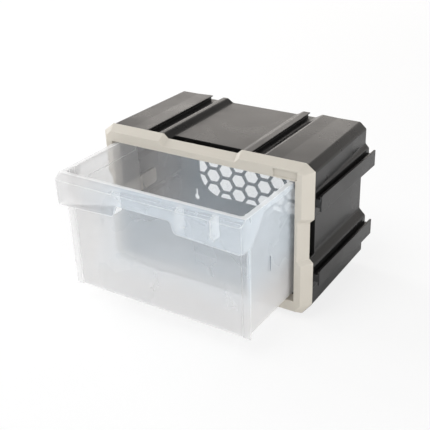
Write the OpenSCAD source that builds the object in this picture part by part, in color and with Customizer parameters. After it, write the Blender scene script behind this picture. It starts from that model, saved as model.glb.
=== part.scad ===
// Stackable drawer box: black interlocking housing, beige front frame, translucent drawer.
// Millimetres, +Z up, +X to the viewer's right, -Y towards the viewer.
// The origin lies on the floor under the centre of the box as shown, drawer pulled out.

/* [Housing] */
// Width over the front frame
body_w = 286; // [260:2:320]
// Height of the front frame, bottom rails not counted
body_h = 189.5; // [180:0.5:230]
// How far the frame stands above the top of the housing
frame_rise = 1.1; // [0.5:0.1:2]
// Depth of the housing behind the front frame
body_d = 145; // [135:1:200]
// Wall thickness of the housing
wall = 2.2; // [1.8:0.1:2.4]

/* [Top grooves and bottom rails] */
// Distance of each groove from the middle
groove_x = 71; // [66:1:80]
// Depth of the top grooves and of the middle panel
groove_depth = 5; // [4.5:0.5:6]
// Half width of the sunken middle panel
panel_half = 47; // [40:1:48]
// Clearance of a rail in the groove of the next box
rail_gap = 0.3; // [0.2:0.1:0.6]

/* [Side rails and slots] */
// Half distance between the upper and lower side rail
side_half = 46.5; // [45:0.5:50]
// Height of the flange of a side rail
flange_h = 20; // [16:1:22]
// Thickness of the flange of a side rail
flange_t = 2.3; // [1.8:0.1:2.4]
// Height of the stem of a side rail
stem_h = 9.6; // [8:0.4:11]
// How far a side rail stands out
side_out = 7; // [6.8:0.1:7.6]
// How far the side rails reach behind the housing
rail_back = 3.5; // [0:0.5:6]

/* [Front frame] */
// Depth of the front frame
bezel_d = 11; // [9:1:14]
// Width of the frame from its outline to the opening, at the sides
band_side = 19; // [18:0.5:22]
// Height of the sill under the drawer
sill_h = 20; // [18:1:26]
// Height of the frame above the opening
band_top = 19.2; // [18:0.1:24]
// Length of the guide arms inside
arm_len = 72; // [50:1:90]

/* [Drawer] */
// How far the drawer is pulled out
pull_out = 106.5; // [0:0.5:128]
// Wall thickness of the drawer
drawer_t = 2; // [1.6:0.1:2.4]
// Gap between the drawer rim and the opening, each side
side_gap = 2.5; // [2:0.5:5]
// Depth of the hood pull in front of the drawer wall
hood_depth = 17; // [14:1:20]
// Height of the hood skirt beside its short middle part
hood_long = 33; // [28:0.5:38]
// How much further the skirt reaches down at the ends of the hood
hood_droop = 3.2; // [0:0.2:5]
// Height of the short middle part of the hood skirt
hood_short = 19; // [14:0.5:24]

/* [Rear panel] */
// Horizontal distance between honeycomb columns
hex_px = 20; // [18:0.5:26]
// Vertical distance between honeycomb cells
hex_pz = 21.5; // [19:0.5:28]
// Thickness of the honeycomb bars
hex_bar = 4; // [3:0.5:5]
// Half distance between the keyholes
key_x = 107.5; // [104:0.5:112]
// Radius of the keyhole head
key_r = 4.3; // [3.5:0.1:5]
// Width of the keyhole slot
key_slot = 3.8; // [3:0.2:5]

/* [Hidden] */
hw = body_w / 2;
// Half widths of the side walls at the front, above and below the rails, and how far they draw in
up_x = hw - 0.4;
low_x = hw - 0.2;
up_draft = 4.3;
low_draft = 2.6;
zc = body_h / 2 + 2.8;
top_h = body_h - frame_rise;
// The top outside the grooves is lower from the crease outwards
crease_x = 101;
crease_z = 0.8;
// Chamfers of the two top corners, width and height, of the housing and of the front frame
chamfer_l = [14, 11];
chamfer_r = [8.2, 8];
corner_l = [15, 12];
corner_r = [11, 8];
foot_h = groove_depth - 0.2;
gw = 9.5;
lip_over = 2.5;
lip_t = 1.3;
ox = hw - band_side;
oz = body_h - band_top;
liner = 2.2;
rear_y = body_d - 5;
rear_t = 2.5;
pocket_d = 13;
arm_t = 2.5;
arm_z0 = zc - 13.5;
arm_z1 = zc + 7.5;
// Drawer sizes, in a frame where the closed hood is flush with the front frame
rim_z = oz - 1.8;
rim_x = ox - side_gap;
tub_x = rim_x - 3.7;
tub_y0 = -bezel_d - 0.5 + hood_depth;
tub_y1 = rear_y - 3.5;
tub_z = sill_h + 0.2;
hood_y = -bezel_d - 0.5;
// Bevel of the front frame, in height and in width
bevel_z = 6.8;
bevel_x = 10.6;
off_x = -side_out / 2;
off_y = -(body_d + rail_back + hood_y - pull_out) / 2;

// Moves the box so that its footprint is centred and it stands on its bottom rails
module placed() {
  translate([off_x, off_y, foot_h]) children();
}

// Prism along Y from a list of X and Z points
module along_y(pts, y0, y1) {
  translate([0, y1, 0]) rotate([90, 0, 0]) linear_extrude(height = y1 - y0) polygon(pts);
}

// Prism along X from a list of Y and Z points
module along_x(pts, x0, x1) {
  translate([x0, 0, 0]) rotate([90, 0, 90]) linear_extrude(height = x1 - x0) polygon(pts);
}

module box(x0, x1, y0, y1, z0, z1) {
  translate([x0, y0, z0]) cube([x1 - x0, y1 - y0, z1 - z0]);
}

// Cross-section of the housing at its front, t inside its outer face
function side_pts(t, c) = let (a = t / 2) [
  [up_x - t, top_h - c[1] - 0.35 * t],
  [up_x - t, zc + side_half + 13 + hw - up_x - a],
  [hw - t, zc + side_half + 13 - a],
  [hw - t, zc + side_half - 15.5 + a],
  [hw - 8.2 - t, zc + side_half - 23.7 + a],
  [hw - 8.2 - t, zc - side_half + 23.7 - a],
  [hw - t, zc - side_half + 15.5 - a],
  [hw - t, zc - side_half - 13 + a],
  [low_x - t, zc - side_half - 13 - hw + low_x + a],
  [low_x - t, 16.5 + 0.35 * t],
  [low_x - 12.8 - 0.35 * t, t]
];
function top_pts(t) = let (a = t / 2, h = top_h - t, g = top_h - groove_depth - t) [
  [-(up_x - chamfer_l[0] - 0.35 * t), h - crease_z],
  [-crease_x, h - crease_z],
  [-groove_x - gw - t, h],
  [-groove_x - gw - t, g],
  [-groove_x + 1 + a, g],
  [-groove_x + gw + a, h],
  [-panel_half - 7.5 - a, h],
  [-panel_half - a, g],
  [panel_half + a, g],
  [panel_half + 7.5 + a, h],
  [groove_x - gw - t, h],
  [groove_x - gw - t, g],
  [groove_x + 1 + a, g],
  [groove_x + gw + a, h],
  [crease_x, h - crease_z],
  [up_x - chamfer_r[0] - 0.35 * t, h - crease_z]
];
function mirrored(pts) = [for (i = [len(pts) - 1 : -1 : 0]) [-pts[i][0], pts[i][1]]];
function profile(t) = concat(top_pts(t), side_pts(t, chamfer_r), mirrored(side_pts(t, chamfer_l)));

// What the draft takes off a side wall with chamfer c, t inside the outer face.
// The cut turns about the front edge of the wall, so that the wall draws in towards the rear.
module draft_cut(t, c) {
  a = t / 2;
  zu = zc + side_half + 13 - a;
  zl = zc - side_half - 13 + a;
  intersection() {
    translate([up_x - t, 0, 0]) rotate([0, 0, atan(up_draft / body_d)])
      along_y([[0, zu - 5], [0, top_h - c[1] - 0.35 * t], [-2 * c[0], top_h + c[1] - 2 * crease_z - 0.35 * t],
        [20, top_h + 12], [20, zu - 5]], -2, body_d + 4);
    along_y([[hw - t + 9, zu - 9], [hw - t - 30, zu + 30], [hw - t + 9, zu + 60]], -3, body_d + 5);
  }
  intersection() {
    translate([low_x - t, 0, 0]) rotate([0, 0, atan(low_draft / body_d)])
      along_y([[0, zl + 5], [0, 16.5 + 0.35 * t], [-16, -4.1 + 0.35 * t], [20, -4], [20, zl + 5]],
        -2, body_d + 4);
    along_y([[hw - t + 9, zl + 9], [hw - t + 9, zl - 60], [hw - t - 51, zl - 51]], -3, body_d + 5);
  }
}

// Drafted block with the housing's cross-section, t inside its outer face, from y0 to y1
module body_block(t, y0, y1) {
  difference() {
    along_y(profile(t), y0, y1);
    draft_cut(t, chamfer_r);
    mirror([1, 0, 0]) draft_cut(t, chamfer_l);
  }
}

// Pocket behind the notch of the frame, in the middle of the top
module top_pocket(t) {
  box(-panel_half - t, panel_half + t, -0.1 + t / 10, pocket_d + t, top_h - 13 - t, top_h + 1 - 3 * t);
}

// Pocket behind each side notch of the frame
module side_pocket(t, s) {
  z0 = zc - side_half + 24 - t;
  z1 = zc + side_half - 24 + t;
  x0 = s > 0 ? hw - 12.5 - t : -hw - 1 + t * 3;
  x1 = s > 0 ? hw + 1 - t * 3 : -hw + 12.5 + t;
  box(x0, x1, -0.1 + t / 10, pocket_d + t, z0, z1);
}

// T rail on the right, which slides into the slot of the next box
module side_rail(z) {
  e = z - flange_h / 2;
  h = flange_h;
  y1 = body_d + rail_back;
  box(hw - 1, hw + side_out - flange_t + 0.1, 1.5, y1, z - stem_h / 2, z + stem_h / 2);
  // The flange is narrower at its front end, as a lead-in
  along_x([[1.5, e + 1.2], [5, e], [y1, e], [y1, e + h], [5, e + h], [1.5, e + h - 1.2]],
    hw + side_out - flange_t, hw + side_out);
}

// T slot on the left
module slot_channel(z) {
  g = rail_gap + 0.1;
  box(-hw + 2.2, -hw + side_out + g, -1, body_d + 1, z - flange_h / 2 - g, z + flange_h / 2 + g);
  box(-hw - 1, -hw + 2.3, -1, body_d + 1, z - stem_h / 2 - g, z + stem_h / 2 + g);
}
module slot_case(z) {
  g = rail_gap + 0.1 + wall;
  box(-hw + 1, -hw + side_out + g, 0, body_d, z - flange_h / 2 - g, z + flange_h / 2 + g);
}

// Lipped edge of a top groove
module groove_lip(x) {
  box(x - gw - 0.1, x - gw + lip_over, 0, body_d, top_h - lip_t, top_h);
}

// Hooked rail under the box, which slides under the lip of the box below
module bottom_rail(x) {
  web0 = x - gw + lip_over + rail_gap;
  box(web0, x + 0.7, 2, body_d - 2, -foot_h, 0.5);
  box(x - gw + rail_gap, web0 + 0.1, 2, body_d - 2, -foot_h, -lip_t - rail_gap);
}

module housing_shell() {
  color([0.06, 0.06, 0.065]) placed() difference() {
    union() {
      difference() {
        body_block(0, 0, body_d);
        body_block(wall, -1, body_d + 1);
      }
      top_pocket(wall);
      for (s = [-1, 1]) {
        side_pocket(wall, s);
        groove_lip(s * groove_x);
        bottom_rail(s * groove_x);
        side_rail(zc + s * side_half);
        slot_case(zc + s * side_half);
      }
      // Floor runners that carry the drawer
      for (x = [-62, 58]) box(x, x + 4, 3.3, rear_y, wall - 0.2, sill_h);
    }
    top_pocket(0);
    for (s = [-1, 1]) {
      side_pocket(0, s);
      slot_channel(zc + s * side_half);
    }
  }
}

// Rounded field that bounds the honeycomb
module hex_field() {
  r = 34;
  z0 = 43.5;
  z1 = body_h - 43.5;
  for (x = [-102 + r, 102 - r]) {
    for (z = [z0 + r, z1 - r]) translate([x, z]) circle(r = r, $fn = 72);
  }
  translate([-102 + r, z0]) square([204 - 2 * r, z1 - z0]);
  translate([-102, z0 + r]) square([204, z1 - z0 - 2 * r]);
}

module hex_cell(k) {
  polygon([
    [-2 * hex_px / 3 * k, 0], [-hex_px / 3 * k, hex_pz / 2 * k], [hex_px / 3 * k, hex_pz / 2 * k],
    [2 * hex_px / 3 * k, 0], [hex_px / 3 * k, -hex_pz / 2 * k], [-hex_px / 3 * k, -hex_pz / 2 * k]
  ]);
}

module hex_cells() {
  k = (hex_pz - hex_bar) / hex_pz;
  for (i = [-6 : 6]) {
    for (j = [-4 : 4]) {
      shift = abs(i) % 2 == 0 ? 0 : hex_pz / 2;
      translate([1.1 + i * hex_px, 74.5 + shift + (j + 1) * hex_pz]) hex_cell(k);
    }
  }
}

module keyhole(x) {
  y1 = rear_y + rear_t + 1;
  h = rear_t + 2;
  translate([x, y1, 36]) rotate([90, 0, 0]) cylinder(r = key_r, h = h, $fn = 48);
  box(x - key_slot / 2, x + key_slot / 2, rear_y - 1, y1, 36, 47.3);
  translate([x, y1, 47.3]) rotate([90, 0, 0]) cylinder(r = key_slot / 2, h = h, $fn = 32);
}

module rear_panel() {
  color([0.07, 0.07, 0.075]) placed() difference() {
    body_block(wall, rear_y, rear_y + rear_t);
    for (s = [-1, 1]) slot_case_back(zc + s * side_half);
    translate([0, rear_y + rear_t + 1, 0]) rotate([90, 0, 0]) linear_extrude(height = rear_t + 2)
      intersection() {
        hex_field();
        hex_cells();
      }
    keyhole(-key_x);
    keyhole(key_x);
  }
}

// Room for the slot cases at the left edge of the rear panel
module slot_case_back(z) {
  g = rail_gap + 0.1 + wall;
  h = flange_h / 2 + g;
  box(-hw - 1, -hw + side_out + g, rear_y - 1, rear_y + rear_t + 1, z - h, z + h);
}

// Straight-edged block between a rear ring at y1 and a front ring at y0 of X and Z points
module loft(rear, face, y0, y1) {
  n = len(rear);
  pts = concat([for (p = rear) [p[0], y1, p[1]]], [for (p = face) [p[0], y0, p[1]]]);
  polyhedron(points = pts, faces = concat(
    [[for (i = [n - 1 : -1 : 0]) i]],
    [[for (i = [0 : n - 1]) n + i]],
    [for (i = [0 : n - 1]) [i, (i + 1) % n, n + (i + 1) % n, n + i]]));
}

// Outline of the front frame, b in from the top and bottom and s in from the sides, corners times k
function frame_ring(b, s, k) = [
  [-(hw - s - corner_l[0] * k), body_h - b], [hw - s - corner_r[0] * k, body_h - b],
  [hw - s, body_h - b - corner_r[1] * k], [hw - s, b + 17 * k],
  [hw - s - 13 * k, b], [-(hw - s - 13 * k), b],
  [-(hw - s), b + 17 * k], [-(hw - s), body_h - b - corner_l[1] * k]
];

// Notches in the outline, f = 0 at the rear edge and 1 at the front face
function top_notch(f) = let (b = bevel_z * f, d = 2 * f) [
  [-panel_half - d, body_h - 5 - b], [-panel_half - d - 11, body_h + 5 - b],
  [panel_half + d + 11, body_h + 5 - b], [panel_half + d, body_h - 5 - b]
];
function side_notch(f, m) = let (x = hw - 5 - bevel_x * f, z = side_half - 24 + 2 * f) [
  [m * x, zc - z], [m * (x + 10), zc - z - 10], [m * (x + 10), zc + z + 10], [m * x, zc + z]
];

module frame_block() {
  e = 1 / bezel_d;
  difference() {
    loft(frame_ring(0, 0, 1), frame_ring(bevel_z, bevel_x, 0.5), -bezel_d, 0);
    loft(top_notch(-e), top_notch(1 + e), -bezel_d - 1, 1);
    loft(side_notch(-e, -1), side_notch(1 + e, -1), -bezel_d - 1, 1);
    mirror([1, 0, 0]) loft(side_notch(-e, -1), side_notch(1 + e, -1), -bezel_d - 1, 1);
  }
}

// Hollow back of the frame
hollow_x = hw - bevel_x - 5 - 1.6;
hollow_pts = [
  [-hollow_x, body_h - bevel_z - 7.2], [hollow_x, body_h - bevel_z - 7.2],
  [hollow_x, bevel_z + 2.4], [-hollow_x, bevel_z + 2.4]
];
module frame_hollow() {
  difference() {
    along_y(hollow_pts, -bezel_d + 2.4, 1);
    box(-ox - liner, ox + liner, -bezel_d, 2, sill_h - liner, oz + liner);
  }
}

// Guide arm that runs back from the frame along the inner wall
module guide_arm(s) {
  x0 = s > 0 ? ox : -ox - arm_t;
  r = 5;
  box(x0, x0 + arm_t, -1, arm_len - r, arm_z0, arm_z1);
  box(x0, x0 + arm_t, arm_len - r - 1, arm_len, arm_z0 + r, arm_z1 - r);
  for (z = [arm_z0 + r, arm_z1 - r]) {
    translate([x0, arm_len - r, z]) rotate([0, 90, 0]) cylinder(r = r, h = arm_t, $fn = 32);
  }
}

module front_frame() {
  color([0.77, 0.74, 0.68]) placed() difference() {
    union() {
      difference() {
        frame_block();
        frame_hollow();
      }
      box(-ox - liner, ox + liner, -0.1, 3.6, sill_h - liner, oz + liner);
      guide_arm(-1);
      guide_arm(1);
    }
    box(-ox, ox, -bezel_d - 1, arm_len + 1, sill_h, oz);
    // Label recess at the upper right
    box(hw - 45.5, hw - 17, -bezel_d - 1, -bezel_d + 1.6, body_h - 17.9, body_h - 9);
  }
}

// Thin rounded slab used to build the tapered tub
module tub_slab(z, x, y0, y1, r) {
  for (sxn = [-1, 1]) {
    for (y = [y0 + r, y1 - r]) translate([sxn * (x - r), y, z]) cylinder(r = r, h = 0.05, $fn = 32);
  }
}
module tub_block(t) {
  hull() {
    tub_slab(tub_z + t, tub_x - 3.6 - t, tub_y0 + 2.4 + t, tub_y1 - 3 - t, 4.5 - t);
    tub_slab(tub_z + 2.8 + t, tub_x - 1.8 - t, tub_y0 + 0.6 + t, tub_y1 - 1.2 - t, 4.5 - t);
    tub_slab(rim_z - 0.05 + t / 4, tub_x - t, tub_y0 + t, tub_y1 - t, 4.5 - t);
  }
}

hood_low = hood_long + hood_droop;
// Cross-section of the hood pull, its ridge and skirt outside
hood_pts = [
  [tub_y0 + drawer_t, rim_z - 9],
  [tub_y0 - 3.8, rim_z],
  [tub_y0 - 7.2, rim_z],
  [hood_y, rim_z - 6.1],
  [hood_y, rim_z - hood_low],
  [tub_y0 + drawer_t, rim_z - hood_low]
];
// Hollow under the hood
hood_hollow = [
  [hood_y + 1.8, rim_z - hood_low - 1],
  [hood_y + 1.8, rim_z - 7.2],
  [tub_y0 - 6.7, rim_z - 1.8],
  [tub_y0 - 4.6, rim_z - 1.8],
  [tub_y0, rim_z - 8.6],
  [tub_y0, rim_z - 12],
  [tub_y0 + drawer_t + 1, rim_z - 12],
  [tub_y0 + drawer_t + 1, rim_z - hood_low - 1]
];

// Plan of the hood with its two rounded corners, x half wide and from y back
module hood_plan(x, y, r) {
  z0 = rim_z - hood_low - 2;
  h = hood_low + 4;
  box(-x, x, y + r, tub_y0 + 4, z0, z0 + h);
  box(-x + r, x - r, y, tub_y0 + 4, z0, z0 + h);
  for (s = [-1, 1]) translate([s * (x - r), y + r, z0]) cylinder(r = r, h = h, $fn = 48);
}

module hood_shell() {
  difference() {
    intersection() {
      along_x(hood_pts, -rim_x, rim_x);
      hood_plan(rim_x, hood_y, 4.3);
    }
    intersection() {
      along_x(hood_hollow, -rim_x, rim_x);
      hood_plan(rim_x - 1.6, hood_y + 1.8, 2.6);
    }
    skirt_cut();
  }
}

// Skirt outline seen from the front: a short middle part, then a lower edge that droops to the ends
module skirt_cut() {
  z0 = rim_z - hood_low - 1;
  z1 = rim_z - hood_short;
  z2 = rim_z - hood_long;
  x2 = rim_x - 5;
  along_y([[-x2, z0], [-x2, z0 + 1], [-42, z2], [-39.5, z2 + 2], [-35.5, z1 - 1.5], [-33.5, z1], [33.5, z1],
    [35.5, z1 - 1.5], [39.5, z2 + 2], [42, z2], [x2, z0 + 1], [x2, z0]], hood_y - 1, hood_y + 1.9);
}

// Small web under the front slope of the hood
module hood_tab(x) {
  along_x([[hood_y + 1, rim_z - 10.8], [hood_y + 1, rim_z - 6.4], [tub_y0 - 6.9, rim_z - 1],
    [tub_y0 - 4.6, rim_z - 1], [hood_y + 4.4, rim_z - 10.8]], x - 0.8, x + 0.8);
}

// Rim between the hood ridge and the side of the tub, rounded inside
module rim_corner(s) {
  w0 = tub_x - drawer_t;
  x0 = s > 0 ? w0 : -rim_x;
  x1 = s > 0 ? w0 : -tub_x;
  box(x0, x0 + rim_x - w0, tub_y0 - 4.6, tub_y0 + 4, rim_z - 2, rim_z);
  along_x([[tub_y0 - 4.2, rim_z - 0.5], [tub_y0 + 4, rim_z - 0.5], [tub_y0 + 4, rim_z - 10],
    [tub_y0 + 0.6, rim_z - 10], [tub_y0 + 0.6, rim_z - 8], [tub_y0 - 4.2, rim_z - 1.5]], x1, x1 + drawer_t);
  difference() {
    translate([s * (w0 - 1.9), tub_y0 - 1.9, rim_z - 1]) cube([4.2, 4.2, 2], center = true);
    translate([s * (w0 - 4), tub_y0 + 0.2, rim_z - 3]) cylinder(r = 4, h = 4, $fn = 48);
  }
}

// Web between the skirt and the drawer wall
module hood_rib(x) {
  z0 = rim_z - hood_long + 1;
  along_x([[hood_y + 1, z0], [hood_y + 1, rim_z - 6.5], [tub_y0 - 6.7, rim_z - 1], [tub_y0 - 4.4, rim_z - 1],
    [tub_y0 + 0.3, rim_z - 8], [tub_y0 + 0.5, z0]], x - 0.8, x + 0.8);
}

module corner_fin(s) {
  x0 = s > 0 ? tub_x - 7 : -tub_x + 7;
  x1 = s * (rim_x - 0.1);
  along_y([[x0, tub_z + 0.6], [x1 - s * 0.8, tub_z + 0.6], [x1, rim_z - hood_long], [x1, rim_z - 1],
    [x0, rim_z - 1]], tub_y0, tub_y0 + 2);
}

module drawer() {
  color([0.86, 0.88, 0.9, 0.6]) placed() translate([0, -pull_out, 0]) {
    difference() {
      union() {
        tub_block(0);
        // Rim along the sides and the back, turned down
        box(-rim_x, rim_x, tub_y0 + 3, tub_y1 + 2.4, rim_z - 2, rim_z);
        for (s = [-1, 1]) {
          x0 = s > 0 ? rim_x - 1.4 : -rim_x;
          box(x0, x0 + 1.4, tub_y0 - 1, tub_y1 + 2.4, rim_z - 7, rim_z);
          // Cheek behind the corner fin
          along_x([[tub_y0 + 1, rim_z - 37.5], [tub_y0 + 3, rim_z - 37.5], [tub_y0 + 29.5, rim_z - 6.8],
            [tub_y0 + 29.5, rim_z - 1], [tub_y0 + 1, rim_z - 1]], x0, x0 + 1.4);
          // Corner fin from the rim to the foot, in line with the front wall
          corner_fin(s);
        }
        box(-rim_x, rim_x, tub_y1 + 1, tub_y1 + 2.4, rim_z - 7, rim_z);
      }
      tub_block(drawer_t);
      box(-tub_x + drawer_t, tub_x - drawer_t, tub_y0 + 12, tub_y1 - drawer_t - 6, rim_z - 20, rim_z + 1);
      // Narrow upright slit in each side wall
      for (x = [-tub_x - 2, tub_x - 5]) {
        box(x, x + 7, tub_y0 + 49.4, tub_y0 + 50.3, arm_z0 - 4.5, arm_z0 + 14);
      }
      // The front wall ends under the hood ridge
      box(-rim_x - 1, rim_x + 1, tub_y0 - 2, tub_y0 + drawer_t + 0.4, rim_z - 9, rim_z + 1);
    }
    hood_shell();
    for (x = [-84.5, -42, 42, 84.5]) hood_rib(x);
    for (s = [-1, 1]) {
      hood_tab(s * 65);
      rim_corner(s);
    }
  }
}

housing_shell();
rear_panel();
front_frame();
drawer();
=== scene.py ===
import math

import bmesh
import bpy
from mathutils import Matrix, Vector


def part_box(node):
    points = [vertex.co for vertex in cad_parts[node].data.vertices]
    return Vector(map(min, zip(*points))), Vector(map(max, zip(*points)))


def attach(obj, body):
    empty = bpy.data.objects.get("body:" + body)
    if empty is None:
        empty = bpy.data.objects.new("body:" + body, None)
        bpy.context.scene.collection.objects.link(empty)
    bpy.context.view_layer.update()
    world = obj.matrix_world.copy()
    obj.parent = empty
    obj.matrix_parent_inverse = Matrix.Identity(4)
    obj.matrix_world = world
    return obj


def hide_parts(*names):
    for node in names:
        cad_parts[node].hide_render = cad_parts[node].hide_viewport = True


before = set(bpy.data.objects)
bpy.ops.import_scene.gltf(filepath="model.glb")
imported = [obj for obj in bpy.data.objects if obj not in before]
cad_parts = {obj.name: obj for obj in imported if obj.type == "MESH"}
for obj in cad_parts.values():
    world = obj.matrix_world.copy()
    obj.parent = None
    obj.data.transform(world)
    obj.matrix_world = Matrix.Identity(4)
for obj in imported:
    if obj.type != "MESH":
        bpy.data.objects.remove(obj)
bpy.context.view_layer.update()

# HOUSING SLEEVE
# The black outer sleeve, moulded in one with its top grooves, side rails, slots and bottom rails.
# Glossy black polypropylene with a very fine grain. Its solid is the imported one, with the edges
# rounded as a mould leaves them.


def in_scene(name, data):
    """New object of the scene."""
    thing = bpy.data.objects.new(name, data)
    bpy.context.scene.collection.objects.link(thing)
    return thing


def put(tree, kind, values=None, **settings):
    """New node with its settings, its inputs linked to sockets or set to values."""
    node = tree.nodes.new(kind)
    for key, value in settings.items():
        setattr(node, key, value)
    for key, value in (values or {}).items():
        if isinstance(value, bpy.types.NodeSocket):
            tree.links.new(value, node.inputs[key])
        else:
            node.inputs[key].default_value = value
    return node


def calc(tree, kind, first, second=0.0):
    """Math node on sockets or numbers."""
    return put(tree, "ShaderNodeMath", {0: first, 1: second}, operation=kind).outputs[0]


def ramp(tree, value, low, high, at_low=0.0, at_high=1.0):
    """Number that runs from at_low to at_high while value runs from low to high."""
    node = put(tree, "ShaderNodeMapRange", {
        "Value": value, "From Min": low, "From Max": high, "To Min": at_low, "To Max": at_high})
    return node.outputs["Result"]


def colour_mix(tree, factor, first, second, name="colour_mix"):
    """Mix of two colours; each is a socket or three numbers."""
    first, second = (c if isinstance(c, bpy.types.NodeSocket) else (*c, 1) for c in (first, second))
    values = {"Factor": factor, "A": first, "B": second}
    return put(tree, "ShaderNodeMix", values, data_type="RGBA", name=name)


def shader_group(name, inputs, outputs):
    """Empty shader node group with named number inputs and outputs."""
    group = bpy.data.node_groups.new(name, "ShaderNodeTree")
    for label, value in inputs.items():
        socket = group.interface.new_socket(label, in_out="INPUT", socket_type="NodeSocketFloat")
        socket.default_value = value
    for label in outputs:
        group.interface.new_socket(label, in_out="OUTPUT", socket_type="NodeSocketFloat")
    return group, group.nodes.new("NodeGroupInput").outputs, group.nodes.new("NodeGroupOutput").inputs


def make_moulded_skin():
    """Fine grain and slow clouding of a moulded surface, from the object's own coordinates."""
    group, given, result = shader_group(
        "moulded_skin", {"Grain per metre": 2600.0, "Clouds per metre": 14.0}, ("Grain", "Clouds"))
    place = put(group, "ShaderNodeTexCoord").outputs["Object"]
    grain = put(group, "ShaderNodeTexNoise", {
        "Vector": place, "Scale": given["Grain per metre"], "Detail": 2.0})
    clouds = put(group, "ShaderNodeTexNoise", {
        "Vector": place, "Scale": given["Clouds per metre"], "Detail": 3.0, "Distortion": 0.6})
    group.links.new(grain.outputs["Fac"], result["Grain"])
    group.links.new(clouds.outputs["Fac"], result["Clouds"])
    return group


def make_edge_wear_and_sheen():
    """Mask of the edges, for rubbed wear and for a painted edge highlight; with Breakup 1 it is patchy, as
    handling rubs them.
    """
    patches_per_metre = 90.0
    group, given, result = shader_group(
        "edge_wear_and_sheen", {"Reach": 0.001, "Strength": 1.0, "Breakup": 1.0}, ("Edge",))
    place = put(group, "ShaderNodeTexCoord").outputs["Object"]
    rounded = put(group, "ShaderNodeBevel", {"Radius": given["Reach"]}, samples=4).outputs["Normal"]
    plain = put(group, "ShaderNodeNewGeometry").outputs["Normal"]
    across = put(group, "ShaderNodeVectorMath", {0: rounded, 1: plain}, operation="DOT_PRODUCT")
    bend = calc(group, "SUBTRACT", 1.0, across.outputs["Value"])
    patches = put(group, "ShaderNodeTexNoise", {"Vector": place, "Scale": patches_per_metre}).outputs["Fac"]
    spared = calc(group, "MULTIPLY", given["Breakup"], calc(group, "SUBTRACT", 1.0, patches))
    bent = calc(group, "MULTIPLY", bend, calc(group, "SUBTRACT", 1.0, spared))
    rub_and_sheen = calc(group, "MULTIPLY", bent, given["Strength"])
    group.links.new(calc(group, "MINIMUM", rub_and_sheen, 1.0), result["Edge"])
    return group


moulded_skin = make_moulded_skin()
edge_wear_and_sheen = make_edge_wear_and_sheen()


def plastic(name, deep, pale, edge_colour_wear_and_sheen, gloss, grain, grain_depth, rub_and_sheen=4.0, breakup=1.0):
    """Moulded plastic between two close colours, with grain, clouding, and edges lightened by rubbed wear
    and a painted highlight.
    """
    clouds_per_metre = 14.0
    thin_cloud, thick_cloud = 0.3, 0.7      # the clouding noise seldom leaves this range
    material = bpy.data.materials.new(name)
    material.use_nodes = True
    tree = material.node_tree
    shader = tree.nodes["Principled BSDF"]
    skin_sizes = {"Grain per metre": grain, "Clouds per metre": clouds_per_metre}
    skin = put(tree, "ShaderNodeGroup", skin_sizes, node_tree=moulded_skin, name="skin")
    edge_sizes = {"Strength": rub_and_sheen, "Breakup": breakup}
    edge = put(tree, "ShaderNodeGroup", edge_sizes, node_tree=edge_wear_and_sheen, name="edge")
    body = colour_mix(tree, skin.outputs["Clouds"], deep, pale, "body_colour")
    # The edges take a lighter colour: rubbed wear, and a painted highlight where edges would catch the
    # light
    wear_and_sheen_tone = colour_mix(tree, edge.outputs["Edge"], body.outputs["Result"], edge_colour_wear_and_sheen, "wear_and_sheen_colour")
    tree.links.new(wear_and_sheen_tone.outputs["Result"], shader.inputs["Base Color"])
    rough = ramp(tree, skin.outputs["Clouds"], thin_cloud, thick_cloud, *gloss)
    tree.links.new(rough, shader.inputs["Roughness"])
    bump = put(tree, "ShaderNodeBump", {"Height": skin.outputs["Grain"], "Distance": grain_depth})
    tree.links.new(bump.outputs["Normal"], shader.inputs["Normal"])
    return material, shader


def softened(mesh, name, radius, shortest, roll=None, crease=None, covered=None):
    """Piece made of a mesh: doubles merged, flat faces joined, its longer sharp edges rounded.

    Edges are rounded by radius, long blunt ones by roll. Long edges blunter still, from crease
    degrees up, stay as crisp lines without a radius. Edges in front of covered stay sharp, because
    the next piece hides them."""
    same_point, same_plane = 2e-6, math.radians(0.3)
    long_edge = 0.06
    sharp_bend, blunt_bends = 32, (25, 60)      # degrees
    mesh.name = name
    mesh.materials.clear()
    solid = bmesh.new()
    solid.from_mesh(mesh)
    bmesh.ops.remove_doubles(solid, verts=solid.verts, dist=same_point)
    bmesh.ops.dissolve_limit(solid, angle_limit=same_plane, verts=solid.verts, edges=solid.edges)
    layers = solid.edges.layers.float
    weight = layers.get("bevel_weight_edge") or layers.new("bevel_weight_edge")
    widest = max(radius, roll or 0.0)
    for edge in solid.edges:
        bend = math.degrees(edge.calc_face_angle()) if len(edge.link_faces) == 2 else 0.0
        length = edge.calc_length()
        blunt = roll and length > long_edge and blunt_bends[0] < bend < blunt_bends[1]
        sharp = bend > sharp_bend or blunt
        edge.smooth = not (sharp or crease and bend > crease and length > long_edge)
        hidden = covered is not None and max(vert.co.y for vert in edge.verts) < covered
        rounded = sharp and length > shortest and not hidden
        edge[weight] = (roll if blunt else radius) / widest if rounded else 0.0
    for face in solid.faces:
        face.smooth = True
    solid.to_mesh(mesh)
    solid.free()
    piece = in_scene(name, mesh)
    bevel = piece.modifiers.new("mould_radius", "BEVEL")
    bevel.limit_method = "WEIGHT"
    bevel.width = widest
    bevel.segments = 3 if roll else 2
    bevel.use_clamp_overlap = False
    flat = piece.modifiers.new("flat_faces", "WEIGHTED_NORMAL")
    flat.keep_sharp = True
    flat.weight = 100
    return piece


black_plastic, black_shader = plastic(
    "glossy_black_polypropylene", deep=(0.006, 0.006, 0.006), pale=(0.010, 0.010, 0.010),
    edge_colour_wear_and_sheen=(0.055, 0.053, 0.050), gloss=(0.24, 0.36), grain=2600.0, grain_depth=0.00002)
black_shader.inputs["IOR"].default_value = 1.5

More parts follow.
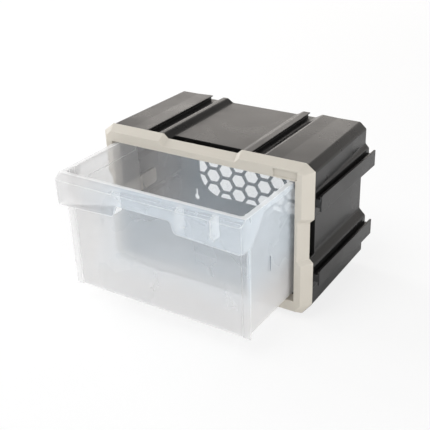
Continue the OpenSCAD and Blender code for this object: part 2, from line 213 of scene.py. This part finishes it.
# The sleeve's foremost edges are covered by the front frame
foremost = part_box("housing_shell")[0][1] + 0.00005
housing = softened(
    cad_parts["housing_shell"].data.copy(), "housing_sleeve", radius=0.0004, shortest=0.0015,
    roll=0.0016, crease=1.5, covered=foremost)
housing.data.materials.append(black_plastic)
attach(housing, "housing")
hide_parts("housing_shell")

# REAR PANEL
# The flat panel set into the back of the sleeve, with the honeycomb grille and two keyholes.
# Black polypropylene of the same melt, a little duller, grey where it takes the light of the room.
dark_plastic, dark_shader = plastic(
    "satin_black_panel", deep=(0.018, 0.023, 0.028), pale=(0.024, 0.030, 0.037),
    edge_colour_wear_and_sheen=(0.09, 0.09, 0.095), gloss=(0.36, 0.48), grain=2200.0, grain_depth=0.00003)
dark_shader.inputs["IOR"].default_value = 1.5

column_pitch = 0.020
row_pitch = 0.0215
bar = 0.004
columns, rows = 13, 9
middle_cell = (-0.0024, 0.1008)
field_centre = (-0.0035, 0.09955)
field_size = (0.204, 0.1025)
field_corner = 0.034


def outline_without_cells(node):
    """Border of a panel's rear face and its keyholes as edges in X and Y, the honeycomb left out."""
    same_point, same_plane, beside_field = 2e-6, 1e-5, 0.001
    solid = bmesh.new()
    solid.from_mesh(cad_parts[node].data)
    bmesh.ops.remove_doubles(solid, verts=solid.verts, dist=same_point)
    back_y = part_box(node)[1][1]
    at_back = {
        face for face in solid.faces if all(abs(vert.co.y - back_y) < same_plane for vert in face.verts)}
    beside = {}
    for edge in solid.edges:
        if sum(face in at_back for face in edge.link_faces) == 1:
            for vert in edge.verts:
                beside.setdefault(vert, []).append(edge.other_vert(vert))
    points, edges = [], []
    while beside:
        ring, vert = [], next(iter(beside))
        while vert:
            ring.append(vert)
            vert = next((other for other in beside.pop(vert) if other in beside), None)
        across = max(vert.co.x for vert in ring) - min(vert.co.x for vert in ring)
        middle = sum(vert.co.x for vert in ring) / len(ring) - field_centre[0]
        if across > field_size[0] or abs(middle) > field_size[0] / 2 + beside_field:
            first = len(points)
            points += [(vert.co.x, vert.co.z, 0) for vert in ring]
            edges += [(first + i, first + (i + 1) % len(ring)) for i in range(len(ring))]
    solid.free()
    mesh = bpy.data.meshes.new("panel_outline")
    mesh.from_pydata(points, edges, [])
    return mesh


def geometry_tree(name, sizes):
    """Geometry node tree with named inputs for its sizes beside its geometry."""
    tree = bpy.data.node_groups.new(name, "GeometryNodeTree")
    sockets = tree.interface
    sockets.new_socket("Geometry", in_out="INPUT", socket_type="NodeSocketGeometry")
    names = {}
    for label, kind in sizes.items():
        names[label] = sockets.new_socket(label, in_out="INPUT", socket_type="NodeSocket" + kind).identifier
    sockets.new_socket("Geometry", in_out="OUTPUT", socket_type="NodeSocketGeometry")
    return tree, tree.nodes.new("NodeGroupInput").outputs, tree.nodes.new("NodeGroupOutput").inputs, names


def make_sheet_tree():
    """Closed flat sheet with the outline of the curves given, from height 0 up to Thickness."""
    same_point = 1e-6
    tree, given, result, _ = geometry_tree("sheet_from_outline", {"Thickness": "Float"})
    face = put(tree, "GeometryNodeFillCurve", {"Curve": given["Geometry"]}, mode="NGONS").outputs["Mesh"]
    upright = put(tree, "ShaderNodeCombineXYZ", {"Z": 1.0}).outputs["Vector"]
    raised = put(tree, "GeometryNodeExtrudeMesh", {
        "Mesh": face, "Offset": upright, "Offset Scale": given["Thickness"],
        "Individual": False}, mode="FACES").outputs["Mesh"]
    under = put(tree, "GeometryNodeFlipFaces", {"Mesh": face}).outputs["Mesh"]
    both = put(tree, "GeometryNodeJoinGeometry")
    tree.links.new(raised, both.inputs["Geometry"])
    tree.links.new(under, both.inputs["Geometry"])
    closed = put(tree, "GeometryNodeMergeByDistance", {
        "Geometry": both.outputs["Geometry"], "Distance": same_point}).outputs["Geometry"]
    tree.links.new(closed, result["Geometry"])
    return tree


def make_honeycomb_tree(sheet_tree):
    """Panel from its outline, with six-sided cells in columns cut out of a rounded field."""
    sizes = {"Thickness": "Float", "Column pitch": "Float", "Row pitch": "Float", "Bar": "Float",
             "Columns": "Int", "Rows": "Int", "Middle cell": "Vector", "Field centre": "Vector",
             "Field width": "Float", "Field height": "Float", "Field corner": "Float", "Rear": "Float",
             "Plastic": "Material"}
    tree, given, result, names = geometry_tree("honeycomb_panel", sizes)
    plain_sheet = put(tree, "GeometryNodeGroup", node_tree=sheet_tree)
    outline = put(tree, "GeometryNodeMeshToCurve", {"Mesh": given["Geometry"]}).outputs["Curve"]
    tree.links.new(outline, plain_sheet.inputs["Geometry"])
    tree.links.new(given["Thickness"], plain_sheet.inputs["Thickness"])

    # Points in columns, every other column half a row higher
    wide = calc(tree, "MULTIPLY", calc(tree, "SUBTRACT", given["Columns"], 1.0), given["Column pitch"])
    high = calc(tree, "MULTIPLY", calc(tree, "SUBTRACT", given["Rows"], 1.0), given["Row pitch"])
    grid = put(tree, "GeometryNodeMeshGrid", {
        "Size X": wide, "Size Y": high, "Vertices X": given["Columns"], "Vertices Y": given["Rows"]})
    position = put(tree, "GeometryNodeInputPosition").outputs["Position"]
    across = put(tree, "ShaderNodeSeparateXYZ", {"Vector": position}).outputs["X"]
    column = calc(tree, "ROUND", calc(tree, "DIVIDE", across, given["Column pitch"]))
    odd = calc(tree, "MODULO", calc(tree, "ABSOLUTE", column), 2.0)
    half_row = calc(tree, "MULTIPLY", given["Row pitch"], 0.5)
    step = put(tree, "ShaderNodeCombineXYZ", {"Y": calc(tree, "MULTIPLY", odd, half_row)}).outputs["Vector"]
    move = put(tree, "ShaderNodeVectorMath", {0: step, 1: given["Middle cell"]}, operation="ADD")
    centres = put(tree, "GeometryNodeSetPosition", {
        "Geometry": grid.outputs["Mesh"], "Offset": move.outputs["Vector"]}).outputs["Geometry"]

    # A cell is smaller than its pitch by the bar between it and the next one. Its corners lie two
    # thirds of a column away from its centre, its flat sides half a row
    share = calc(tree, "DIVIDE", calc(
        tree, "SUBTRACT", given["Row pitch"], given["Bar"]), given["Row pitch"])
    corner_per_column, corner_per_row = 2 / 3, 0.5 / math.sin(math.radians(60))
    cell_across = calc(tree, "MULTIPLY", given["Column pitch"], corner_per_column)
    cell_up = calc(tree, "MULTIPLY", given["Row pitch"], corner_per_row)
    cell_size = put(tree, "ShaderNodeCombineXYZ", {
        "X": calc(tree, "MULTIPLY", cell_across, share), "Y": calc(tree, "MULTIPLY", cell_up, share),
        "Z": calc(tree, "MULTIPLY", given["Thickness"], 4.0)}).outputs["Vector"]
    prism = put(tree, "GeometryNodeMeshCylinder", {
        "Vertices": 6, "Radius": 1.0, "Depth": 1.0}).outputs["Mesh"]
    cells = put(tree, "GeometryNodeInstanceOnPoints", {
        "Points": centres, "Instance": prism, "Scale": cell_size}).outputs["Instances"]
    cells = put(tree, "GeometryNodeRealizeInstances", {"Geometry": cells}).outputs["Geometry"]

    # Rounded field that bounds the cells
    border = put(tree, "GeometryNodeCurvePrimitiveQuadrilateral", {
        "Width": given["Field width"], "Height": given["Field height"]}).outputs["Curve"]
    border = put(tree, "GeometryNodeFilletCurve", {
        "Curve": border, "Radius": given["Field corner"], "Count": 16}, mode="POLY").outputs["Curve"]
    border = put(tree, "GeometryNodeTransform", {
        "Geometry": border, "Translation": given["Field centre"]}).outputs["Geometry"]
    field = put(tree, "GeometryNodeGroup", node_tree=sheet_tree)
    tree.links.new(border, field.inputs["Geometry"])
    tree.links.new(given["Thickness"], field.inputs["Thickness"])
    cut = put(tree, "GeometryNodeMeshBoolean", operation="INTERSECT")
    tree.links.new(cells, cut.inputs["Mesh 2"])
    tree.links.new(field.outputs["Geometry"], cut.inputs["Mesh 2"])

    # The cells go right through the sheet, one thickness beyond it on either side
    holes = put(tree, "GeometryNodeTransform", {
        "Geometry": cut.outputs["Mesh"], "Scale": (1, 1, 3)}).outputs["Geometry"]
    lower = put(tree, "ShaderNodeCombineXYZ", {"Z": calc(tree, "MULTIPLY", given["Thickness"], -1.0)})
    holes = put(tree, "GeometryNodeSetPosition", {
        "Geometry": holes, "Offset": lower.outputs["Vector"]}).outputs["Geometry"]
    grille = put(tree, "GeometryNodeMeshBoolean", {
        "Mesh 1": plain_sheet.outputs["Geometry"], "Mesh 2": holes}, operation="DIFFERENCE").outputs["Mesh"]

    # Upright, with its rear face at the depth given
    rear = put(tree, "ShaderNodeCombineXYZ", {"Y": given["Rear"]}).outputs["Vector"]
    upright = put(tree, "GeometryNodeTransform", {
        "Geometry": grille, "Rotation": (math.radians(90), 0, 0), "Translation": rear}).outputs["Geometry"]
    whole = put(tree, "GeometryNodeRealizeInstances", {"Geometry": upright}).outputs["Geometry"]
    dressed = put(tree, "GeometryNodeSetMaterial", {"Geometry": whole, "Material": given["Plastic"]})
    tree.links.new(dressed.outputs["Geometry"], result["Geometry"])
    return tree, names


def put_edges_in_order(mesh):
    """Sort a mesh's edges by their ends, because the cut leaves them in another order each run."""
    solid = bmesh.new()
    solid.from_mesh(mesh)
    points = len(solid.verts)

    def rank(edge):
        first, last = sorted(vert.index for vert in edge.verts)
        return first * points + last

    solid.edges.sort(key=rank)
    solid.to_mesh(mesh)
    solid.free()


honeycomb, honeycomb_names = make_honeycomb_tree(make_sheet_tree())
blank = in_scene("panel_blank", outline_without_cells("rear_panel"))
cutting = blank.modifiers.new("honeycomb", "NODES")
cutting.node_group = honeycomb
panel_low, panel_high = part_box("rear_panel")
panel_sizes = {
    "Thickness": panel_high[1] - panel_low[1], "Rear": panel_high[1], "Plastic": dark_plastic,
    "Column pitch": column_pitch, "Row pitch": row_pitch, "Bar": bar, "Columns": columns, "Rows": rows,
    "Middle cell": (*middle_cell, 0.0), "Field centre": (*field_centre, 0.0),
    "Field width": field_size[0], "Field height": field_size[1], "Field corner": field_corner}
for label, value in panel_sizes.items():
    cutting[honeycomb_names[label]] = value
cut_blank = blank.evaluated_get(bpy.context.evaluated_depsgraph_get())
cut_mesh = bpy.data.meshes.new_from_object(cut_blank)
bpy.data.objects.remove(blank)
put_edges_in_order(cut_mesh)

panel = softened(cut_mesh, "honeycomb_panel", radius=0.0003, shortest=0.0015)
panel.data.materials.append(dark_plastic)
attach(panel, "housing")
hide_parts("rear_panel")

# FRONT FRAME
# The beige frame clipped to the front of the sleeve, with its bevel, notches, label recess and
# guide arms. Satin filled plastic with a soft fine grain; it has crisp but rounded edges.
beige_plastic, beige_shader = plastic(
    "satin_beige_plastic", deep=(0.552, 0.512, 0.448), pale=(0.592, 0.552, 0.483),
    edge_colour_wear_and_sheen=(0.70, 0.67, 0.60), gloss=(0.46, 0.56), grain=1800.0, grain_depth=0.00003)
beige_tree = beige_plastic.node_tree


def tint(tree, shader, factor, colour):
    """Lay a colour over the base colour as far as factor says."""
    base = shader.inputs["Base Color"]
    over = colour_mix(tree, factor, base.links[0].from_socket, colour)
    tree.links.new(over.outputs["Result"], base)


# Painted shade: inner corners are darkened through ambient occlusion, so that the label recess and the
# steps stand out
corner_reach = 0.007
corner_samples = 6
openness = put(beige_tree, "ShaderNodeAmbientOcclusion", {
    "Distance": corner_reach}, samples=corner_samples).outputs["AO"]
tint(beige_tree, beige_shader, calc(beige_tree, "SUBTRACT", 1.0, openness), (0.30, 0.265, 0.215))

front = softened(
    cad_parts["front_frame"].data.copy(), "beige_front_frame", radius=0.0005, shortest=0.002)
front.data.materials.append(beige_plastic)
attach(front, "housing")
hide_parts("front_frame")

# DRAWER
# The translucent drawer: a tapering tub with a turned-down rim, hooded pull, ribs and fins.
# Natural polypropylene about 2 mm thick, milky where it is seen through more than one wall.
# Its edge colour is plain white without rubbed patches: a painted highlight on the edges
frosted, frosted_shader = plastic(
    "frosted_polypropylene", deep=(0.75, 0.815, 0.875), pale=(0.79, 0.78, 0.78),
    edge_colour_wear_and_sheen=(1.0, 1.0, 1.0), gloss=(0.24, 0.34), grain=900.0, grain_depth=0.00002, rub_and_sheen=6.0, breakup=0.0)
frosted_shader.inputs["IOR"].default_value = 1.49
frosted_tree = frosted.node_tree
frosted_edge = frosted_tree.nodes["edge"].outputs["Edge"]
object_place = put(frosted_tree, "ShaderNodeTexCoord").outputs["Object"]
spot = put(frosted_tree, "ShaderNodeSeparateXYZ", {"Vector": object_place}).outputs


def drawer_calc(kind, first, second=0.0):
    """Math node of the drawer's material."""
    return calc(frosted_tree, kind, first, second)


def near(direction, place, reach):
    """Mask of what lies within reach of a place along one direction."""
    away = drawer_calc("ABSOLUTE", drawer_calc("SUBTRACT", spot[direction], place))
    return drawer_calc("LESS_THAN", away, reach)


# Milky plastic looks bluish against the dark housing. The warmer tone at the far left and low down is
# painted light, where the room lights it from behind. The clouding shifts the tone a little
warm_left = ramp(frosted_tree, spot["X"], -0.03, -0.10)
warm_low = ramp(frosted_tree, spot["Z"], 0.10, 0.05)
clouds = frosted_tree.nodes["skin"].outputs["Clouds"]
cloudy = drawer_calc("MULTIPLY", drawer_calc("SUBTRACT", clouds, 0.5), 0.6)
warmth = drawer_calc("ADD", drawer_calc("MAXIMUM", warm_low, warm_left), cloudy)
frosted_tree.links.new(warmth, frosted_tree.nodes["body_colour"].inputs["Factor"])

# A wall looks denser the more slantwise it is seen: 1 - exp(-depth / cosine) for each of its two faces
depth_of_haze = 0.25
least_cosine = 0.08
facing = put(frosted_tree, "ShaderNodeLayerWeight", {"Blend": 0.5}).outputs["Facing"]
cosine = drawer_calc("MAXIMUM", drawer_calc("SUBTRACT", 1.0, facing), least_cosine)
passed = drawer_calc("POWER", math.exp(-depth_of_haze), drawer_calc("DIVIDE", 1.0, cosine))
wall_haze = drawer_calc("SUBTRACT", 1.0, passed)

# Painted highlight: the edges, the sides of the ribs under the hood and the top of the rim are painted
# whiter and a little denser, in place of the light that runs a longer way inside them and catches them
rib_places = (-0.088, -0.0455, 0.0385, 0.081)
rib_half = 0.0012
rim_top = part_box("drawer")[1][2] - 0.0005
on_rib = near("X", rib_places[0], rib_half)
for place in rib_places[1:]:
    on_rib = drawer_calc("MAXIMUM", near("X", place, rib_half), on_rib)
normal = put(frosted_tree, "ShaderNodeNewGeometry").outputs["Normal"]
turned = put(frosted_tree, "ShaderNodeSeparateXYZ", {"Vector": normal}).outputs["X"]
sideways = drawer_calc("GREATER_THAN", drawer_calc("ABSOLUTE", turned), 0.7)
rib_side = drawer_calc("MULTIPLY", on_rib, sideways)
on_rim = drawer_calc("GREATER_THAN", spot["Z"], rim_top)
painted_highlight = drawer_calc("MAXIMUM", frosted_edge, drawer_calc("MAXIMUM", rib_side, on_rim))
frosted_tree.links.new(painted_highlight, frosted_tree.nodes["wear_and_sheen_colour"].inputs["Factor"])
density = wall_haze
for mask, haze in ((frosted_edge, 0.8), (rib_side, 0.8), (on_rim, 0.5)):
    density = drawer_calc("MAXIMUM", density, drawer_calc("MULTIPLY", mask, haze))

# Painted reflection: the narrow upright slit in each side wall is painted as a dark line, in place of its
# faces that mirror the inside
slit_place, slit_half_width = -0.0664, 0.0009
slit_middle, slit_half_height = 0.0936, 0.0094
at_slit = drawer_calc(
    "MULTIPLY", near("Y", slit_place, slit_half_width), near("Z", slit_middle, slit_half_height))
tint(frosted_tree, frosted_shader, at_slit, (0.22, 0.26, 0.31))

# The haze scatters light forwards, so that it takes a fifth less of the light that falls through
light_kept = 0.2
rays = put(frosted_tree, "ShaderNodeLightPath").outputs
lighting = drawer_calc("MAXIMUM", rays["Is Shadow Ray"], rays["Is Diffuse Ray"])
taken = drawer_calc("SUBTRACT", 1.0, drawer_calc("MULTIPLY", lighting, light_kept))
frosted_tree.links.new(drawer_calc("MULTIPLY", density, taken), frosted_shader.inputs["Alpha"])

drawer = softened(
    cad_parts["drawer"].data.copy(), "translucent_drawer", radius=0.0004, shortest=0.0015)
drawer.data.materials.append(frosted)
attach(drawer, "drawer")
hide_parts("drawer")

# FLOOR
# A plain pale table top that the box stands on. It is a matt white sheet laid flat, and it keeps
# the box's shadow. For the camera it is mostly plain white, so that the shadow stays faint.
reach = 4.0
white_share = 0.8
floor_mesh = bpy.data.meshes.new("floor")
floor_mesh.from_pydata(
    [(-reach, -reach, 0), (reach, -reach, 0), (reach, reach, 0), (-reach, reach, 0)], [], [(0, 1, 2, 3)])
floor = in_scene("floor", floor_mesh)
floor_material = bpy.data.materials.new("pale_floor")
floor_material.use_nodes = True
floor_mesh.materials.append(floor_material)
floor_tree = floor_material.node_tree
floor_shader = floor_tree.nodes["Principled BSDF"]
floor_shader.inputs["Base Color"].default_value = (1, 1, 1, 1)
floor_shader.inputs["Roughness"].default_value = 0.9
floor_shader.inputs["Specular IOR Level"].default_value = 0.0
floor_seen = put(floor_tree, "ShaderNodeLightPath").outputs["Is Camera Ray"]
floor_surface = put(floor_tree, "ShaderNodeMixShader", {
    "Fac": calc(floor_tree, "MULTIPLY", floor_seen, white_share), 1: floor_shader.outputs["BSDF"],
    2: put(floor_tree, "ShaderNodeEmission").outputs["Emission"]})
floor_tree.links.new(floor_surface.outputs["Shader"], floor_tree.nodes["Material Output"].inputs["Surface"])

# LIGHT
# Soft studio light: a white room that is bright low down and dim overhead, and four large panels,
# behind, above in front, at the left and at the right. For the camera the room is plain white.
room = bpy.data.worlds.new("white_room")
bpy.context.scene.world = room
room.use_nodes = True
room_tree = room.node_tree
backdrop = room_tree.nodes["Background"]
direction = put(room_tree, "ShaderNodeTexCoord").outputs["Generated"]
towards = put(room_tree, "ShaderNodeSeparateXYZ", {"Vector": direction}).outputs
room_seen = put(room_tree, "ShaderNodeLightPath").outputs["Is Camera Ray"]
brightness = ramp(room_tree, towards["Z"], 0.28, 0.52, 0.95, 0.22)
strength = put(room_tree, "ShaderNodeMix", {"Factor": room_seen, "A": brightness, "B": 1.0})
room_tree.links.new(strength.outputs["Result"], backdrop.inputs["Strength"])
# A little cool in front of the box and a little warm behind it
behind = ramp(room_tree, towards["Y"], -0.6, 0.6)
tone = colour_mix(room_tree, behind, (0.95, 0.98, 1.0), (1.0, 0.96, 0.92))
plain = colour_mix(room_tree, room_seen, tone.outputs["Result"], (1, 1, 1))
room_tree.links.new(plain.outputs["Result"], backdrop.inputs["Color"])


def soft_panel(name, place, aim, width, height, power, colour=(1, 1, 1)):
    """Large area lamp that points from place to aim."""
    lamp = bpy.data.lights.new(name, "AREA")
    lamp.color = colour
    lamp.shape = "RECTANGLE"
    lamp.size = width
    lamp.size_y = height
    lamp.energy = power
    turn = (Vector(place) - Vector(aim)).to_track_quat("Z", "Y").to_matrix().to_4x4()
    in_scene(name, lamp).matrix_world = Matrix.Translation(Vector(place)) @ turn


soft_panel("rear_panel_light", (-0.55, 1.9, 0.66), (0, 0, 0.15), 2.0, 0.9, 6.4, (1.0, 0.94, 0.88))
soft_panel("front_panel_light", (-0.35, -1.15, 2.45), (0, 0, 0.05), 1.4, 1.4, 27.0)
soft_panel("left_panel_light", (-1.8, 0.2, 1.1), (0, 0, 0.08), 1.2, 1.0, 23.0)
soft_panel("right_panel_light", (1.8, -1.0, 0.38), (0, 0, 0.08), 1.2, 0.6, 16.0)
bpy.context.scene.view_settings.view_transform = "Standard"

# CAMERA
# Found from the photograph's own edges: direction, roll, distance and lens, all in the row frame.
azimuth, elevation, roll = math.radians(33.387), math.radians(26.832), math.radians(-1.994)
aim = Vector((0.010634, -0.01525, 0.103934))
distance = 0.94904
focal_pixels = 807.90
picture = 430
flat_reach = math.cos(elevation)
back = Vector((math.sin(azimuth) * flat_reach, -math.cos(azimuth) * flat_reach, math.sin(elevation)))
level = Vector((math.cos(azimuth), math.sin(azimuth), 0))
above = back.cross(level)
right = math.cos(roll) * level + math.sin(roll) * above
up = -math.sin(roll) * level + math.cos(roll) * above
lens = bpy.data.cameras.new("camera")
lens.sensor_width = 36.0
lens.lens = focal_pixels * lens.sensor_width / picture
lens.clip_start = 0.01
camera = in_scene("camera", lens)
facing_back = Matrix((right, up, back)).transposed().to_4x4()
camera.matrix_world = Matrix.Translation(aim + back * distance) @ facing_back
bpy.context.scene.camera = camera
